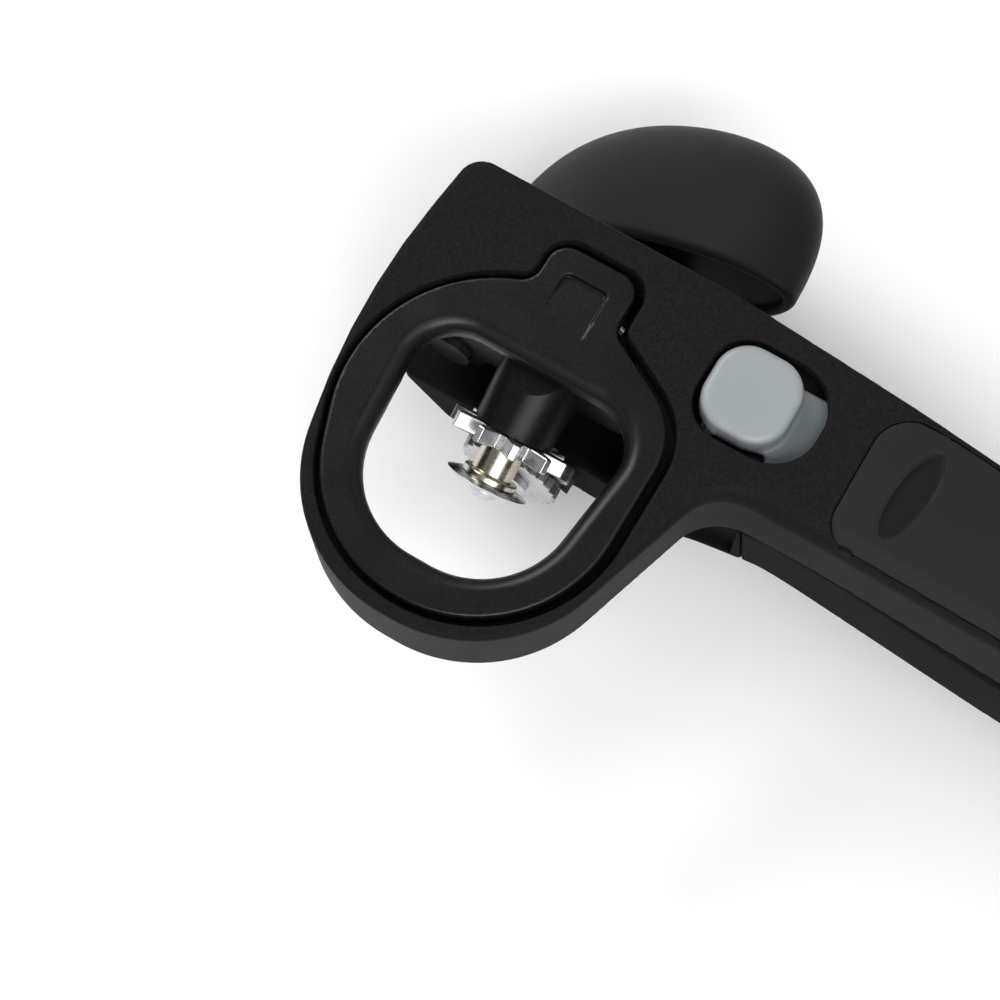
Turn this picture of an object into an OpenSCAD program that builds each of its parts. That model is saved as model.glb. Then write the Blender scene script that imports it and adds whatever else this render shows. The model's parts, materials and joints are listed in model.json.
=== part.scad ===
// Manual can opener with a locking pair of handles and a lift-off lid catch.
// +X runs from the head along the handles, +Y points from the can to the turning knob, +Z is up.
// The origin is the nip: the outer top edge of the can's seam, between cutting wheel and feed wheel.

/* [Can seam] */
// Height of the can's double seam
seam_h = 3.1; // [2.8:0.1:3.4]
// How far the cutting wheel's edge reaches below the seam's top
cut_depth = 5.1; // [4.6:0.1:5.6]

/* [Head and handles] */
// Height of the head's flat top above the can's seam
top_z = 19; // [18.5:0.5:20]
// Height of the head's lower edge above the can's seam
skirt_z = 2.8; // [2.4:0.1:3]
// Wall thickness of the moulded shells
wall = 2.4; // [2:0.1:2.6]
// Overall length of the upper handle, from the nip to its tip
upper_len = 166; // [160:1:175]
// Length of the lower handle, from the nip to its tip
lower_len = 148; // [144:1:150]
// Thickness of the soft grip layer
grip_t = 1.5; // [1:0.1:1.8]
// Gap between the two closed handles
handle_gap = 1.0; // [0.8:0.1:1.5]

/* [Hinge of the handles] */
// Distance of the handle hinge in front of the nip
hinge_x = 17; // [16:0.5:17]
// Height of the handle hinge below the seam's top
hinge_z = 1.5; // [1:0.5:2]
// Radius of the handle hinge pin
hinge_r = 2.5; // [2:0.1:2.6]

/* [Cutting wheel] */
// Tilt of the cutter's axis, up towards the knob side
tilt = 24; // [23.5:0.5:24.5]
// Radius of the cutting wheel
disc_r = 6.9; // [6.7:0.1:7]
// Distance of the cutting edge inside the seam's outer edge
cut_in = 4.6; // [4.5:0.1:4.8]
// Radius of the fixed cutter axle
axle_r = 2.0; // [1.8:0.1:2.1]

/* [Drive] */
// Number of teeth on each of the two gears
teeth = 10; // [10:10]
// Pitch radius of the gears
pitch_r = 8.5; // [8.45:0.05:8.55]
// Radius over the feed wheel's serrations
feed_r = 8.8; // [8.6:0.1:8.9]
// Radius of the drive shaft
shaft_r = 3.0; // [2.8:0.1:3.2]
// Half length of the knob
knob_a = 33.8; // [32:0.1:34]
// Half thickness of the knob
knob_b = 12; // [11.5:0.1:13]
// Turn of the knob about the drive shaft at rest
knob_turn = 38; // [0:1:90]

/* [Lid catch] */
// Thickness of the ring lever
ring_t = 4.2; // [4:0.1:4.4]
// Gap between the ring lever and the head
ring_gap = 1.15; // [1.05:0.05:1.2]
// Radius of the magnet
magnet_r = 2.0; // [1.8:0.1:2.1]

/* [Lock] */
// How far the lock button stands above the head
button_proud = 2.0; // [1.5:0.1:2.5]

/* [Hidden] */
$fn = 72;
run = 0.05;          // radial clearance of a running fit
seat = 0.02;         // radial clearance between pieces fixed to each other

// Cutter axis: a point on it (the cutting wheel's centre) and distances along it
disc_y = -cut_in - disc_r * sin(tilt);
disc_z = disc_r * cos(tilt) - cut_depth;
gear_t = 2.6;
gear_s = 6.2;        // distance from the cutting wheel's centre to the upper gear's near face
boss_s = gear_s + gear_t + 0.25;
axle_end = 18;       // the axle is pressed into the boss as far as this

// Drive axis: level, below the seam by the feed wheel's radius
drive_z = -seam_h - 0.1 - feed_r;
drive_gear_y = 1.4;
drive_gear_t = 3.0;

// Gear teeth: radii of tip and root, and half widths at root, pitch circle and tip
tip_r = 9.9;
root_r = 6.1;
root_half = 1.4;
pitch_half = 0.92;
tip_half = 0.58;

// Knob
knob_y0 = 40.7;
knob_y1 = 68.3;

// Ring lever and its hinge
ring_top = top_z - 0.4;
magnet_y = -29.9;
cup_r = 2.6;
ring_z = ring_top - ring_t;
catch_y = 17.5;
catch_z = ring_z - 2.4;
catch_r = 1.2;

// Head's plan outline with the upper handle: corners as [x, y, rounding radius], anticlockwise
head_plan = [[-25.9, 33.2, 4], [-29.38, 2.92, 115], [-19.87, -36.7, 24.4], [19.3, -36.7, 24.6],
    [32.6, 5.0, 9], [100, 5.2, 60], [upper_len, 7.0, 10], [upper_len, 27.0, 10], [100, 26.8, 90],
    [20, 33.1, 120]];

// Upper body's side outline: corners as [x, z, rounding radius], anticlockwise from the front
head_side = [[-30, skirt_z, 0], [54, skirt_z + 0.6, 50], [84, -1.6, 60], [112, -3.2, 90],
    [upper_len + 1, -6.5, 3], [upper_len + 1, 4.6, 3], [112, 14.2, 160], [52, top_z, 120],
    [-30, top_z, 0]];

// Lower handle's plan and side outlines
low_rear = 27.4;
low_plan = [[-24.5, low_rear, 0], [-24.5, 4.6, 0], [10, 4.9, 10], [26, 3.9, 10], [42, 5.9, 20],
    [100, 4.6, 60], [lower_len, 6.4, 10], [lower_len, 27.0, 10], [100, 26.8, 90], [34, 31.4, 20],
    [27, low_rear, 4]];
low_side = [[-23.5, -7.2, 1], [-23.5, -10.5, 2], [-15, -21.3, 5], [13, -21, 8], [31, -13.4, 14], [47, -13, 30],
    [84, -20.5, 60], [118, -24, 60], [lower_len + 1, -20.5, 6],
    [lower_len + 1, skirt_z - handle_gap - 8.2, 2], [112, -3.2 - handle_gap, 90],
    [84, -1.6 - handle_gap, 60], [54, skirt_z - handle_gap + 0.6, 50],
    [27.6, skirt_z - handle_gap, 1], [26.2, -7.2, 1]];

// Ring lever's outline and its window; its pocket in the head lies a little further forward
pocket_x = 0.45;
ring_plan = [[-7.4, 27.3, 3.5], [-7.4, 19.46, 3.5], [-31.71, 9.15, 25], [-16.22, -33.4, 23],
    [23.4, -33.4, 23], [23.6, 9.5, 12], [7.4, 18.3, 3.5], [7.4, 27.3, 3.5]];
window_plan = [[-18.0, 7.8, 7.5], [-15.2, -26.5, 15], [15.2, -26.5, 15], [19.4, 7.8, 7.5]];

// Lock button's outline and the opening that it slides in
button_plan = [[23.2, 26.9, 5.5], [23.2, 12.4, 5.5], [37.3, 12.4, 5.5], [37.3, 26.9, 5.5]];
base_plan = [[28.6, 25.6, 2], [28.6, 13.4, 1], [36.2, 13.4, 1], [36.8, 11.6, 0.6], [45.5, 11.6, 2],
    [45.5, 25.6, 5]];
slot_plan = [[22.4, 28.0, 6], [22.4, 11.1, 6], [41.9, 11.1, 7.5], [41.9, 28.0, 7.5]];
base_t = 1.4;
base_z = top_z - wall - 0.3 - base_t;

// ---- outlines -------------------------------------------------------------------------------

function unit(v) = v / norm(v);
function left_of(v) = [-v[1], v[0]];
function cross2(a, b) = a[0] * b[1] - a[1] * b[0];
function xy(p) = [p[0], p[1]];

// Where two lines meet, each given by a point and a direction
function meet(p, u, q, v) = p + u * (cross2(q - p, v) / cross2(u, v));

// An outline's corners moved inwards by d, with their roundings kept concentric
function inset(pts, d) = [for (i = [0:len(pts) - 1])
    let (a = xy(pts[(i + len(pts) - 1) % len(pts)]), b = xy(pts[i]), c = xy(pts[(i + 1) % len(pts)]),
        u = unit(b - a), v = unit(c - b), m = meet(b + left_of(u) * d, u, b + left_of(v) * d, v))
    [m[0], m[1], pts[i][2] == 0 ? 0 : max(0.05, pts[i][2] - d * sign(cross2(u, v)))]];

// A corner rounded to an arc, as a list of points
function corner(a, b, c, r) = r == 0 ? [b] :
    let (u = unit(a - b), v = unit(c - b), half = acos(min(1, max(-1, u * v))) / 2,
        reach = r / tan(half), centre = b + unit(u + v) * (r / sin(half)),
        from = b + u * reach - centre, turn = 180 - 2 * half,
        way = cross2(from, -u) > 0 ? 1 : -1, n = max(2, ceil(turn / 7)))
    [for (i = [0:n]) let (t = way * turn * i / n)
        centre + [from[0] * cos(t) - from[1] * sin(t), from[0] * sin(t) + from[1] * cos(t)]];

function rounded(pts) = [for (i = [0:len(pts) - 1])
    each corner(xy(pts[(i + len(pts) - 1) % len(pts)]), xy(pts[i]), xy(pts[(i + 1) % len(pts)]), pts[i][2])];

module slab(pts, z0, z1) {
    translate([0, 0, z0])
        linear_extrude(z1 - z0)
            polygon(rounded(pts));
}

// A side outline in X and Z, carried across from y0 to y1
module across(pts, y0, y1) {
    translate([0, y1, 0])
        rotate([90, 0, 0])
            linear_extrude(y1 - y0)
                polygon(rounded(pts));
}

module on_cutter_axis(s = 0) {
    translate([0, disc_y, disc_z])
        rotate([tilt - 90, 0, 0])
            translate([0, 0, s])
                children();
}

module on_drive_axis(y = 0) {
    translate([0, y, drive_z])
        rotate([-90, 0, 0])
            children();
}

module y_rod(x, z, r, y0, y1) {
    translate([x, y0, z])
        rotate([-90, 0, 0])
            cylinder(h = y1 - y0, r = r);
}

module x_rod(y, z, r, x0, x1) {
    translate([x0, y, z])
        rotate([0, 90, 0])
            cylinder(h = x1 - x0, r = r);
}

module block(x0, x1, y0, y1, z0, z1) {
    translate([x0, y0, z0])
        cube([x1 - x0, y1 - y0, z1 - z0]);
}

module washer(h, r, hole) {
    difference() {
        cylinder(h = h, r = r);
        translate([0, 0, -1])
            cylinder(h = h + 2, r = hole);
    }
}

// ---- gears and springs ----------------------------------------------------------------------

// Outline of a gear with blunt teeth, the first tooth centred on angle a0
function tooth_half(r) = r < pitch_r
    ? root_half + (pitch_half - root_half) * (r - root_r) / (pitch_r - root_r)
    : pitch_half + (tip_half - pitch_half) * (r - pitch_r) / (tip_r - pitch_r);
function gear_points(a0) = [for (i = [0:teeth - 1]) let (a = a0 + 360 * i / teeth)
    each [for (k = [[root_r, -1], [pitch_r, -1], [tip_r, -1], [tip_r, 1], [pitch_r, 1], [root_r, 1]])
        let (half = tooth_half(k[0]) * k[1])
        [k[0] * cos(a) - half * sin(a), k[0] * sin(a) + half * cos(a)]]];

module gear(h, a0, hole) {
    difference() {
        linear_extrude(h)
            polygon(gear_points(a0));
        translate([0, 0, -1])
            cylinder(h = h + 2, r = hole);
    }
}

// A helical spring along Z, with a straight tail: a round wire swept by formula
module coil(radius, wire, length, turns, tail = 0) {
    sides = 8;
    steps = 14 * turns + (tail > 0 ? 1 : 0);
    rings = [for (i = [0:steps]) for (j = [0:sides - 1])
        let (k = min(i, 14 * turns), a = 360 * k / 14, b = 360 * j / sides, r = radius + wire * cos(b),
            on = (i - k) * tail)
        [r * cos(a) - on * sin(a), r * sin(a) + on * cos(a),
            wire + (length - 2 * wire) * k / (14 * turns) + wire * sin(b)]];
    walls = [for (i = [0:steps - 1]) for (j = [0:sides - 1])
        let (k = (j + 1) % sides)
        [i * sides + j, (i + 1) * sides + j, (i + 1) * sides + k, i * sides + k]];
    ends = [[for (j = [0:sides - 1]) j], [for (j = [sides - 1:-1:0]) steps * sides + j]];
    polyhedron(points = rings, faces = concat(walls, ends), convexity = 8);
}

// ---- upper handle ---------------------------------------------------------------------------

module head_solid(d) {
    intersection() {
        slab(inset(head_plan, d), -30, 30);
        across(inset(head_side, d), -60, 60);
    }
}

// Hollow under the head and inside the upper handle, open below
hollow_side = [[-40, -20, 0], [upper_len - 16, -20, 0], [upper_len - 16, 5.2, 2], [112, 14.2 - wall, 150],
    [52, top_z - wall, 110], [-40, top_z - wall, 0]];

module head_hollow() {
    intersection() {
        slab(inset(head_plan, wall), -30, 30);
        across(hollow_side, -60, 60);
    }
}

grip_z = 1.6;        // depth of the grip inlay in the handle's top

// Soft inlay in the upper handle's top; d shrinks it inside its recess
module grip_region(d) {
    difference() {
        intersection() {
            slab(inset(head_plan, 1.0 + d), -30, 30);
            slab(inset([[49.2, 28.9, 6.5], [49.2, 5.9, 4.5], [upper_len - 15, 5.9, 7],
                [upper_len - 15, 28.9, 7]], d), -30, 30);
            across(head_side, -60, 60);
        }
        across([for (p = head_side) [p[0], p[1] > 0 ? p[1] - grip_z + d : p[1] - 30, p[2]]], -60, 60);
    }
}

screw_places = [[-19.6, 25.2], [-20.6, 17.6], [16.4, 25.4], [16.8, 18.2]];
deck_t = 1.3;
pocket_wall = 1.6;
deck_z = ring_z - 0.2 - deck_t;
hang_x = upper_len - 8;
hang_y = 17.0;
hang_r = 3.5;

// Space around the ring lever, widened by d
module pocket(d, z0, z1) {
    translate([pocket_x, 0, 0])
        slab(inset(ring_plan, -ring_gap - d), z0, z1);
}

module head_shell() {
    color([0.07, 0.07, 0.075])
        difference() {
            union() {
                difference() {
                    head_solid(0);
                    head_hollow();
                    pocket(0, -30, 30);
                }
                // wall and deck of the ring lever's pocket
                intersection() {
                    difference() {
                        pocket(pocket_wall, deck_z, top_z - wall + 0.5);
                        pocket(0, deck_z + deck_t, 30);
                        slab(inset(window_plan, -1), -30, 30);
                        block(-12, 12, 12.8, 40, -30, 30);
                    }
                    slab(inset(head_plan, 0.5), -30, 30);
                }
                // posts for the chassis screws
                for (p = screw_places)
                    translate([p[0], p[1], 12.4])
                        cylinder(h = top_z - wall - 12.4 + 0.5, r = 2.7);
                // rib that the lock spring bears on
                intersection() {
                    block(52.5, 54.5, 4, 40, 3, 18);
                    slab(inset(head_plan, 0.5), -30, 30);
                }
                // eye for hanging, at the handle's end
                intersection() {
                    slab([[hang_x - 7, 40, 0], [hang_x - 7, 0, 0], [hang_x + 20, 0, 0], [hang_x + 20, 40, 0]],
                        -30, 30);
                    head_solid(0.5);
                }
            }
            translate([0, magnet_y, 0])
                cylinder(h = 30, r = cup_r + 0.6);
            slab(slot_plan, base_z + base_t + 0.1, 30);
            grip_region(0);
            for (p = screw_places)
                translate([p[0], p[1], 10])
                    cylinder(h = 6.2, r = 1.05);
            translate([hang_x, hang_y, -30])
                cylinder(h = 60, r = hang_r);
        }
}

module upper_grip() {
    color([0.10, 0.10, 0.105])
        difference() {
            grip_region(0.05);
            // shallow oval finger mark
            translate([57.9, 17.9, 17.4])
                slab([[-2.6, 7.9, 2.5], [-2.6, -7.9, 2.5], [2.6, -7.9, 2.5], [2.6, 7.9, 2.5]], 0, 5);
        }
}

// ---- chassis: the moulded inner frame that holds the cutter and the handle hinge ---------------

front_y = 10.5;
rear_y = 30.1;
plate_t = 2.4;
plate_z = 9.9;
chassis_x0 = -23;
chassis_x1 = 23.6;
ear_x = 8.0;

chassis_wall = [[chassis_x0 + 0.6, plate_z + plate_t, 1], [chassis_x0 + 0.6, -2.2, 5], [-19.4, -6.4, 3],
    [-13.2, -6.4, 3], [-10.4, -0.6, 1.5], [13, -0.6, 3], [chassis_x1, 5.5, 2],
    [chassis_x1, plate_z + plate_t, 1]];

module chassis() {
    color([0.05, 0.05, 0.055])
        difference() {
            union() {
                across(chassis_wall, front_y, front_y + plate_t);
                across(chassis_wall, rear_y - plate_t, rear_y);
                difference() {
                    block(chassis_x0 + 0.6, chassis_x1, front_y, rear_y, plate_z, plate_z + plate_t);
                    // opening under the thumb tab
                    block(-ear_x + 0.3, ear_x - 0.3, 14.4, 28.6, plate_z - 1, plate_z + plate_t + 1);
                }
                // boss that carries the cutter's axle
                intersection() {
                    on_cutter_axis(boss_s)
                        cylinder(h = 22, r1 = 6.6, r2 = 7.4);
                    union() {
                        block(-20, 20, -5, front_y + 0.5, -20, deck_z - 0.1);
                        block(-20, 20, -5, 8.4, -20, ring_z - 0.4);
                    }
                }
                // two ears that hold the lid catch's pin
                for (side = [-1, 1])
                    block(side > 0 ? ear_x : -ear_x - 2.4, side > 0 ? ear_x + 2.4 : -ear_x,
                        catch_y - 2.6, catch_y + 2.6, plate_z + 0.5, catch_z + 1.9);
            }
            on_cutter_axis(0)
                cylinder(h = axle_end + seat, r = axle_r + seat);
            y_rod(-hinge_x, -hinge_z, hinge_r + seat, 0, 40);
            x_rod(catch_y, catch_z, catch_r + seat, -20, 20);
            for (p = screw_places)
                translate([p[0], p[1], 0])
                    cylinder(h = 20, r = 1.3);
        }
}

module chassis_screws() {
    color([0.72, 0.72, 0.74])
        for (p = screw_places)
            translate([p[0], p[1], 0])
                difference() {
                    union() {
                        translate([0, 0, plate_z - 1.5])
                            cylinder(h = 1.5, r = 2.3);
                        translate([0, 0, plate_z - 0.5])
                            cylinder(h = 6.4, r = 1.03);
                    }
                    // cross recess
                    for (a = [0, 90])
                        rotate([0, 0, a])
                            translate([-1.3, -0.3, plate_z - 2])
                                cube([2.6, 0.6, 1.3]);
                }
}

module hinge_pin() {
    color([0.75, 0.75, 0.77]) {
        y_rod(-hinge_x, -hinge_z, hinge_r, front_y - 0.4, rear_y);
        y_rod(-hinge_x, -hinge_z, hinge_r + 1.2, front_y - 1.3, front_y - 0.05);
    }
}

knuckle_y0 = front_y + plate_t + 0.8;
knuckle_y1 = rear_y - plate_t - 0.8;

module hinge_washers() {
    color([0.8, 0.8, 0.82])
        for (y = [front_y + plate_t + 0.1, knuckle_y1 + 0.2])
            translate([-hinge_x, y, -hinge_z])
                rotate([-90, 0, 0])
                    washer(0.5, 4.4, hinge_r + seat);
}

module cutter_axle() {
    color([0.78, 0.78, 0.8]) {
        on_cutter_axis(-1.1)
            cylinder(h = axle_end + 1.1, r = axle_r);
        // domed rivet head in front of the cutting wheel
        on_cutter_axis(-1.1)
            intersection() {
                translate([0, 0, 1.5])
                    sphere(r = 3.1);
                translate([0, 0, -1.6])
                    cylinder(h = 1.6, r = 2.7);
            }
    }
}

module axle_washer() {
    color([0.7, 0.7, 0.72])
        on_cutter_axis(-1.08)
            washer(0.3, 3.3, axle_r + seat);
}

module catch_pin() {
    color([0.75, 0.75, 0.77])
        x_rod(catch_y, catch_z, catch_r, -ear_x - 2.4, ear_x + 2.4);
}

module catch_spring() {
    color([0.7, 0.7, 0.72])
        translate([-4.2, catch_y, catch_z])
            rotate([0, -90, 0])
                coil(1.75, 0.28, 3.2, 4, 5);
}

// ---- lid catch: ring lever with a thumb tab and a magnet ------------------------------------------

recess_y0 = 15.9;
recess_slope = 6.9;

module catch_lever() {
    color([0.075, 0.075, 0.08])
        difference() {
            union() {
                slab(ring_plan, ring_z, ring_top);
                // barrel around the pin, and the web that joins it to the plate
                x_rod(catch_y, catch_z, 2.1, -3.8, 7.6);
                block(-3.8, 7.6, catch_y - 1.6, catch_y + 1.6, catch_z, ring_z + 0.5);
                // stem for the magnet
                translate([0, magnet_y, 4])
                    cylinder(h = ring_z - 4 + 0.5, r = cup_r);
            }
            slab(window_plan, -30, 30);
            x_rod(catch_y, catch_z, catch_r + run, -20, 20);
            // thumb recess, deepest at the tab's end
            translate([0, recess_y0, ring_top])
                rotate([-recess_slope, 0, 0])
                    slab([[-3.75, 7.4, 1.2], [-3.75, -2, 0], [3.75, -2, 0], [3.75, 7.4, 1.2]], 0, 6);
        }
}

module magnet_cup() {
    color([0.72, 0.72, 0.74])
        translate([0, magnet_y, 1.6])
            difference() {
                cylinder(h = 2.38, r = cup_r);
                translate([0, 0, -1])
                    cylinder(h = 2.8, r = magnet_r + seat);
            }
}

module magnet() {
    color([0.5, 0.5, 0.52])
        translate([0, magnet_y, 1.5])
            cylinder(h = 1.88, r = magnet_r);
}

// ---- lock ---------------------------------------------------------------------------------------

slide_x0 = 26.0;
slide_x1 = 36.0;
slide_y0 = 14.2;
slide_y1 = 24.2;

module lock_button() {
    color([0.52, 0.55, 0.56])
        difference() {
            union() {
                slab(button_plan, base_z + base_t - 0.2, top_z + button_proud);
                slab(base_plan, base_z, base_z + base_t);
            }
            translate([31, 19.2, base_z - 1])
                cylinder(h = 5, r = 1.02);
        }
}

module lock_slide() {
    color([0.62, 0.62, 0.64])
        difference() {
            union() {
                block(slide_x0, slide_x1, slide_y0, slide_y1, 8.2, base_z - 0.05);
                // arm down to the hook's nose
                block(slide_x0 + 4.2, slide_x1, slide_y0 + 1, slide_y1 - 1, 3.6, 8.7);
                block(slide_x0 + 1.4, slide_x1, slide_y0 + 1, slide_y1 - 1, 3.6, 5.4);
                // spigot inside the spring
                x_rod(19.2, 10.4, 1.5, slide_x1 - 0.5, slide_x1 + 3);
            }
            translate([31, 19.2, 6])
                cylinder(h = 12, r = 1.2);
            translate([31, 19.2, 6])
                cylinder(h = 3.6, r = 2.4);
        }
}

module lock_screw() {
    color([0.75, 0.75, 0.77])
        translate([31, 19.2, 0]) {
            translate([0, 0, 8.3])
                cylinder(h = 1.28, r = 2.2);
            translate([0, 0, 9])
                cylinder(h = 7.6, r = 1.0);
        }
}

module lock_spring() {
    color([0.7, 0.7, 0.72])
        translate([slide_x1 + 0.1, 19.2, 10.4])
            rotate([0, 90, 0])
                coil(2.2, 0.35, 52.5 - slide_x1 - 0.2, 7);
}

// Cross bar that keeps the lock slide up against the head's top
module lock_retainer() {
    color([0.05, 0.05, 0.055])
        intersection() {
            difference() {
                union() {
                    block(27.8, 45, 8.6, 13.9, 10.2, base_z - 0.25);
                    block(27.8, 45, 24.5, 30.0, 10.2, base_z - 0.25);
                    block(43, 45, 8.6, 30.0, 10.2, base_z - 0.25);
                }
                x_rod(19.2, 10.4, 3.2, 40, 50);
            }
            slab(inset(head_plan, wall + 0.05), -30, 30);
        }
}

// ---- lower handle -------------------------------------------------------------------------------

module low_solid(d) {
    intersection() {
        slab(inset(low_plan, d), -40, 30);
        across(inset(low_side, d), -60, 60);
    }
}

// The hollow is open above behind the drive housing
low_hollow_side = [[30, 30, 0], [30, -10.8, 4], [47, -10.4, 30], [84, -17.4, 60], [118, -20.9, 60],
    [lower_len - 2.6, -17.6, 5], [lower_len - 2.6, 30, 0]];

module low_hollow() {
    intersection() {
        slab(inset(low_plan, grip_t + wall), -40, 30);
        across(low_hollow_side, -60, 60);
    }
}

bush_r = 4.6;
grip_front = [[37, 10, 0], [41, -30, 0], [lower_len - 12, -30, 0], [lower_len - 12, 10, 0]];
strike_x = 24.6;

module low_grip_region(d) {
    difference() {
        across(inset(grip_front, d), -60, 60);
        low_solid(grip_t - d);
    }
}

module lower_handle() {
    color([0.06, 0.06, 0.065])
        difference() {
            union() {
                difference() {
                    low_solid(0);
                    low_grip_region(0);
                    low_hollow();
                    // hollow of the drive housing, behind its front wall
                    intersection() {
                        block(-30, 24, 8.0, 25.0, -18.6, 30);
                        across(inset(low_side, 2.4), -60, 60);
                    }
                }
                // sleeve around the drive bushes
                y_rod(0, drive_z, 7.0, 5.2, low_rear);
                // knuckle and its web
                difference() {
                    union() {
                        y_rod(-hinge_x, -hinge_z, 5.2, knuckle_y0, knuckle_y1);
                        across([[-21.6, -3.4, 1.5], [-14.6, -9.4, 1.5], [9, -9.4, 1], [6, -5.2, 3],
                            [-10, 1.8, 3], [-15, 3.6, 1]], knuckle_y0, knuckle_y1);
                    }
                    block(-11.2, 20, knuckle_y0 + 2.4, knuckle_y1 - 2.4, -8.8, 30);
                }
                // post behind the strike plate
                block(strike_x + 2.2, strike_x + 6.4, 12.0, 26.4, -12, 1.8);
            }
            y_rod(0, drive_z, bush_r + seat, -10, 60);
            y_rod(-hinge_x, -hinge_z, hinge_r + 1.0 + seat, 0, 60);
            // relief in the side, in front of the grip
            block(27.5, 37.3, -5, 7.0, -11.8, 5);
            for (y = [15.4, 23.0])
                x_rod(y, -2.4, 1.02, strike_x - 2, strike_x + 5.4);
        }
}

module hinge_bush() {
    color([0.72, 0.58, 0.32])
        translate([-hinge_x, knuckle_y0, -hinge_z])
            rotate([-90, 0, 0])
                washer(knuckle_y1 - knuckle_y0, hinge_r + 1.0, hinge_r + run);
}

module lower_grip() {
    color([0.10, 0.10, 0.105])
        difference() {
            intersection() {
                low_solid(0);
                across(inset(grip_front, 0.05), -60, 60);
            }
            low_solid(grip_t - seat);
            low_hollow();
        }
}

module drive_bushes() {
    color([0.72, 0.58, 0.32]) {
        on_drive_axis(5.3)
            washer(8.0, bush_r, shaft_r + run);
        on_drive_axis(low_rear - 8)
            washer(8.03, bush_r, shaft_r + run);
        on_drive_axis(low_rear + 0.02)
            washer(0.8, 6.2, shaft_r + run);
    }
}

// Folded plate with the lip that the lock's hook goes under
module strike_plate() {
    color([0.66, 0.66, 0.68])
        difference() {
            union() {
                block(strike_x, strike_x + 1.5, 12.8, 25.6, -6.0, 6.9);
                block(strike_x, strike_x + 1.9, 15.5, 22.9, 5.7, 6.9);
            }
            for (y = [15.4, 23.0])
                x_rod(y, -2.4, 1.2, strike_x - 1, strike_x + 3);
        }
}

module strike_screws() {
    color([0.75, 0.75, 0.77])
        for (y = [15.4, 23.0]) {
            x_rod(y, -2.4, 1.0, strike_x - 0.5, strike_x + 5.2);
            x_rod(y, -2.4, 2.0, strike_x - 1.2, strike_x - 0.02);
        }
}

// ---- drive: shaft, feed wheel, gear and knob -----------------------------------------------------

feed_y0 = -1.1;
feed_t = 2.1;
pin_r = 0.9;

// Cross pin through the knob's neck and the shaft, and the hole for it
module pin_hole(r, length) {
    translate([0, 35.4, drive_z])
        rotate([0, -knob_turn, 0])
            translate([0, 0, -length / 2])
                cylinder(h = length, r = r);
}

module drive_shaft() {
    color([0.7, 0.7, 0.72]) {
        difference() {
            on_drive_axis(feed_y0 - 0.3)
                cylinder(h = 55, r = shaft_r);
            pin_hole(pin_r + seat, 20);
        }
        // riveted end in front of the feed wheel
        on_drive_axis(feed_y0 - 1.2)
            cylinder(h = 1.15, r = shaft_r + 0.8);
    }
}

// Feed wheel with fine V-shaped serrations
serrations = 26;
module feed_wheel() {
    color([0.72, 0.72, 0.74])
        on_drive_axis(feed_y0)
            difference() {
                linear_extrude(feed_t)
                    polygon([for (i = [0:serrations * 2 - 1])
                        let (a = 180 * i / serrations, r = i % 2 == 0 ? feed_r : feed_r - 0.8)
                        [r * cos(a), r * sin(a)]]);
                translate([0, 0, -1])
                    cylinder(h = feed_t + 2, r = shaft_r + seat);
            }
}

module drive_gear() {
    color([0.74, 0.74, 0.76])
        on_drive_axis(drive_gear_y)
            gear(drive_gear_t, 270, shaft_r + seat);
}

module thrust_washer() {
    color([0.8, 0.8, 0.82])
        on_drive_axis(drive_gear_y + drive_gear_t + 0.1)
            washer(0.6, 4.4, shaft_r + seat);
}

function knob_outline(d) = [for (i = [0:71]) let (a = 5 * i + knob_turn)
    let (r = (knob_a - d) * (knob_b - d) / sqrt(pow((knob_b - d) * cos(5 * i), 2) + pow((knob_a - d) * sin(5 * i), 2)))
    [r * cos(a), -r * sin(a)]];

// Side profile of the knob: full width at its foot, closing in a soft crown
knob_crown = 2.55;
function knob_width(q) = pow(1 - pow(q, knob_crown), 1 / knob_crown);
function knob_profile(half) = let (q = [for (i = [0:14]) sin(90 * i / 14)])
    concat([for (i = [0:13]) [half * knob_width(q[i]), q[i] * (knob_y1 - knob_y0)]],
        [[0, knob_y1 - knob_y0]],
        [for (i = [13:-1:0]) [-half * knob_width(q[i]), q[i] * (knob_y1 - knob_y0)]]);

module knob_core() {
    color([0.04, 0.04, 0.045])
        difference() {
            union() {
                // neck between the handle and the knob
                on_drive_axis(29.6)
                    cylinder(h = knob_y0 - 29.6 + 1, r1 = 6.8, r2 = 9.4);
                on_drive_axis(knob_y0 + 1.2)
                    linear_extrude(5)
                        polygon(knob_outline(2.2));
                on_drive_axis(knob_y0)
                    cylinder(h = 14.5, r = 8.0);
            }
            on_drive_axis(20)
                cylinder(h = 34.0, r = shaft_r + seat);
            pin_hole(pin_r + seat, 30);
        }
}

module knob_grip() {
    color([0.09, 0.09, 0.095])
        difference() {
            on_drive_axis(knob_y0)
                intersection() {
                    linear_extrude(knob_y1 - knob_y0)
                        polygon(knob_outline(0));
                    rotate([90, 0, -knob_turn])
                        linear_extrude(80, center = true)
                            polygon(knob_profile(knob_a));
                    rotate([90, 0, 90 - knob_turn])
                        linear_extrude(80, center = true)
                            polygon(knob_profile(knob_b));
                }
            // hollow that the hard core fills
            on_drive_axis(knob_y0 - 1)
                linear_extrude(7.25)
                    polygon(knob_outline(2.15));
            on_drive_axis(knob_y0)
                cylinder(h = 14.55, r = 8.05);
        }
}

module knob_pin() {
    color([0.75, 0.75, 0.77])
        pin_hole(pin_r, 14.8);
}

module wave_washer() {
    color([0.8, 0.8, 0.82])
        on_drive_axis(28.62)
            washer(0.8, 5.6, shaft_r + 0.1);
}

// ---- cutter: cutting wheel, hub and upper gear -----------------------------------------------------

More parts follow.
